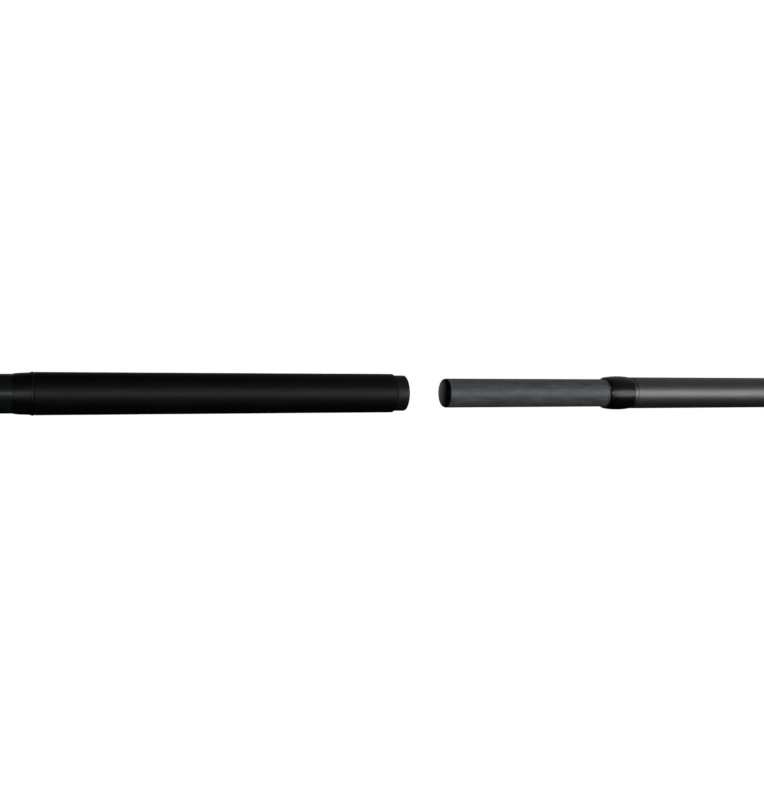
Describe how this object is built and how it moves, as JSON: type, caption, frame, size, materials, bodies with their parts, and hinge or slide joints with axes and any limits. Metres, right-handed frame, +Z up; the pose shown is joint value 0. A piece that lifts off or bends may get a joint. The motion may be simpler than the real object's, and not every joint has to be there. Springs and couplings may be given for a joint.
{
  "type": "boom pole",
  "caption": "Take-down telescopic microphone boom pole: foam-gripped handle with a twist-ring mouth, sliding tubes with barrel twist collars, threaded microphone end.",
  "frame": {"origin": "centre of the butt cap's flat end face, on the pole's axis", "axes": "+X along the pole's axis from the butt to the microphone end, +Z up"},
  "size_m": [1.2934, 0.0398, 0.0399],
  "materials": {
    "black_rubber": "matte",
    "black_nylon": "matte",
    "handle_black": "satin black coating",
    "boot_black": "satin",
    "grip_foam": "matte closed-cell foam",
    "ring_anodised": "dark anodised, satin",
    "bush_alloy": "machined",
    "collet_nylon": "natural nylon",
    "gloss_black": "polished",
    "inner_alloy": "dull blue-grey anodised, rubbed",
    "main_alloy": "satin grey anodised",
    "felt": "pressed felt",
    "stud_steel": "turned",
    "head_anodised": "black anodised"
  },
  "bodies": {
    "handle": {"handle_tube": "handle_black", "butt_cap": "black_rubber", "butt_plug": "black_nylon", "grip_ferrule": "boot_black", "grip_sleeve": "grip_foam", "mouth_sleeve": "bush_alloy", "mouth_collet": "collet_nylon"},
    "mouth_lock": {"mouth_ring": "ring_anodised"},
    "inner": {"inner_tube": "inner_alloy", "end_plug": "gloss_black", "plug_seal": "black_rubber", "inner_guide": "black_nylon"},
    "main": {"main_tube": "main_alloy", "lock_sleeve": "bush_alloy", "lock_collet": "collet_nylon", "tip_sleeve": "bush_alloy", "tip_collet": "collet_nylon"},
    "lock": {"lock_collar": "gloss_black", "lock_wiper": "felt"},
    "tip_lock": {"tip_collar": "gloss_black", "tip_wiper": "felt"},
    "tip": {"tip_tube": "inner_alloy", "tip_guide": "black_nylon", "tip_head": "head_anodised", "mic_stud": "stud_steel"},
    "nut": {"thumb_nut": "head_anodised"}
  },
  "joints": [
    {"name": "mouth_twist", "type": "hinge", "parent": "handle", "child": "mouth_lock", "pos_m": [0.431, 0, 0], "axis": [1, 0, 0], "range_deg": [0, 120]},
    {"name": "section_join", "type": "slide", "parent": "handle", "child": "inner", "axis": [-1, 0, 0], "range_m": [0, 0.2365]},
    {"name": "section_slide", "type": "slide", "parent": "inner", "child": "main", "axis": [1, 0, 0], "range_m": [-0.175, 0.095]},
    {"name": "lock_twist", "type": "hinge", "parent": "main", "child": "lock", "pos_m": [0.691, 0, 0], "axis": [-1, 0, 0], "range_deg": [0, 120]},
    {"name": "tip_twist", "type": "hinge", "parent": "main", "child": "tip_lock", "pos_m": [1.235, 0, 0], "axis": [1, 0, 0], "range_deg": [0, 120]},
    {"name": "tip_slide", "type": "slide", "parent": "main", "child": "tip", "axis": [1, 0, 0], "range_m": [0, 0.12]},
    {"name": "nut_spin", "type": "hinge", "parent": "tip", "child": "nut", "pos_m": [1.278, 0, 0], "axis": [1, 0, 0], "continuous": true}
  ]
}
